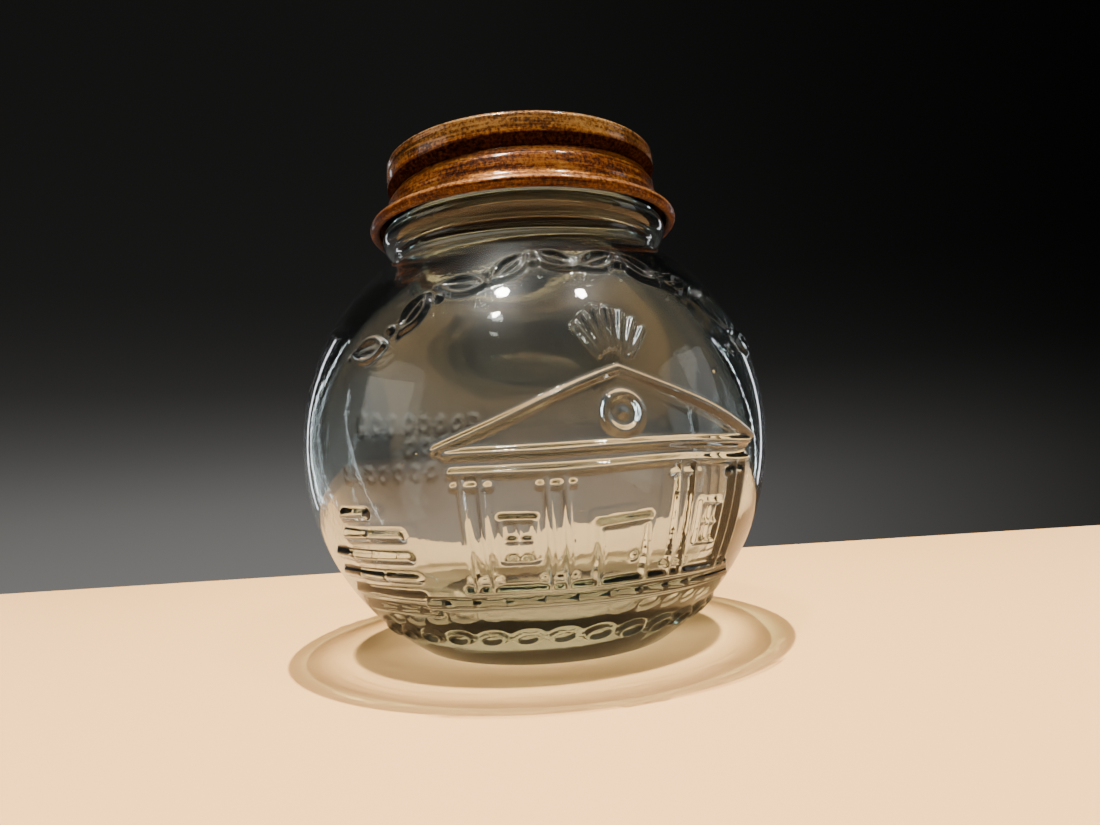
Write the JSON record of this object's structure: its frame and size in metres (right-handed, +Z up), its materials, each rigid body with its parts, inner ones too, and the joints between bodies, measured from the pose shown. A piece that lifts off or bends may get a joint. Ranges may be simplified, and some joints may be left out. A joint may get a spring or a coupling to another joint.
{
  "type": "coin bank jar",
  "caption": "Globe-shaped clear glass jar with an embossed building front, a threaded neck, a sealing ring and a screwed sheet-metal cap with a coin slot.",
  "frame": {"origin": "centre of the bearing ring that the jar stands on", "axes": "+Z up along the jar's axis; the embossed building front faces -Y; +X is to the right as it is faced"},
  "size_m": [0.097, 0.0978, 0.1024],
  "materials": {
    "clear_glass": "clear blown glass with a faint green tint, slight ripples and soft raised lines",
    "seal": "matte, flat moulded ring",
    "lacquered_tinplate": "glossy amber-brown lacquer over tinplate, streaked round the side and worn on the edges"
  },
  "bodies": {
    "jar": {"glass_jar": "clear_glass"},
    "seal": {"seal_ring": "seal"},
    "cap": {"cap": "lacquered_tinplate"}
  },
  "joints": [
    {"name": "cap_lift", "type": "slide", "parent": "jar", "child": "seal", "axis": [0, 0, 1], "range_m": [0, 0.01525]},
    {"name": "cap_turn", "type": "hinge", "parent": "seal", "child": "cap", "pos_m": [0, 0, 0.0945], "axis": [0, 0, 1], "range_deg": [0, 1080]}
  ],
  "couplings": [
    {"joint": "cap_lift", "follows": "cap_turn", "m_per_rad": 0.00080851}
  ]
}
